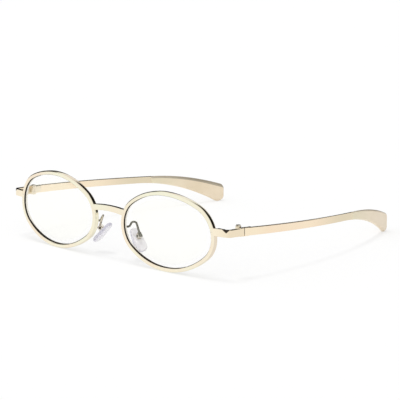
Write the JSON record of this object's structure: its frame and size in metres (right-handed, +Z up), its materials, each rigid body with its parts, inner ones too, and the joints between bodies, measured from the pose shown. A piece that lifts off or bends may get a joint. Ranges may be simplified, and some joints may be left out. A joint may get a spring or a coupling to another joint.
{
  "type": "eyeglasses",
  "caption": "Oval metal eyeglasses with clear lenses, adjustable nose pads and temples that fold on screwed hinges.",
  "frame": {"origin": "on the table, midway between the sides and midway between the front and the temple tips", "axes": "+X towards the wearer's left, -Y the way the wearer looks, +Z up"},
  "size_m": [0.1448, 0.1382, 0.0366],
  "materials": {
    "frame_metal": "polished pale champagne gold plating",
    "hinge_metal": "polished pale gold plating, slightly duller in the corners",
    "screw_steel": "turned steel with a pale gold plating",
    "lens_clear": "clear polished plastic lens",
    "tip_plastic": "smooth tan plastic with a soft gloss",
    "pad_clear": "clear soft plastic with a faint lavender tint"
  },
  "bodies": {
    "front": {"bridge": "frame_metal", "rim_left": "frame_metal", "rim_right": "frame_metal", "lens_left": "lens_clear", "lens_right": "lens_clear", "end_piece_left": "frame_metal", "end_piece_right": "frame_metal", "closing_block_upper_left": "hinge_metal", "closing_block_upper_right": "hinge_metal", "closing_block_lower_left": "hinge_metal", "closing_block_lower_right": "hinge_metal", "closing_screw_left": "screw_steel", "closing_screw_right": "screw_steel", "front_hinge_left": "hinge_metal", "front_hinge_right": "hinge_metal", "hinge_screw_left": "screw_steel", "hinge_screw_right": "screw_steel", "pad_arm_left": "hinge_metal", "pad_arm_right": "hinge_metal", "pad_box_left": "hinge_metal", "pad_box_right": "hinge_metal", "pad_screw_left": "screw_steel", "pad_screw_right": "screw_steel"},
    "temple_left": {"temple_left": "frame_metal", "temple_tip_left": "tip_plastic", "temple_hinge_left": "hinge_metal"},
    "temple_right": {"temple_right": "frame_metal", "temple_tip_right": "tip_plastic", "temple_hinge_right": "hinge_metal"},
    "nose_pad_left": {"nose_pad_left": "pad_clear"},
    "nose_pad_right": {"nose_pad_right": "pad_clear"}
  },
  "joints": [
    {"name": "temple_fold_left", "type": "hinge", "parent": "front", "child": "temple_left", "pos_m": [0.0677, -0.05415, 0.0215], "axis": [0, 0, 1], "range_deg": [0, 82]},
    {"name": "temple_fold_right", "type": "hinge", "parent": "front", "child": "temple_right", "pos_m": [-0.0677, -0.05415, 0.0215], "axis": [0, 0, -1], "range_deg": [0, 87]},
    {"name": "pad_rock_left", "type": "hinge", "parent": "front", "child": "nose_pad_left", "pos_m": [0.01266, -0.06095, 0.01182], "axis": [0.2377, 0.9712, -0.0144], "range_deg": [-8, 8]},
    {"name": "pad_rock_right", "type": "hinge", "parent": "front", "child": "nose_pad_right", "pos_m": [-0.01266, -0.06095, 0.01182], "axis": [0.2377, -0.9712, 0.0144], "range_deg": [-8, 8]}
  ]
}
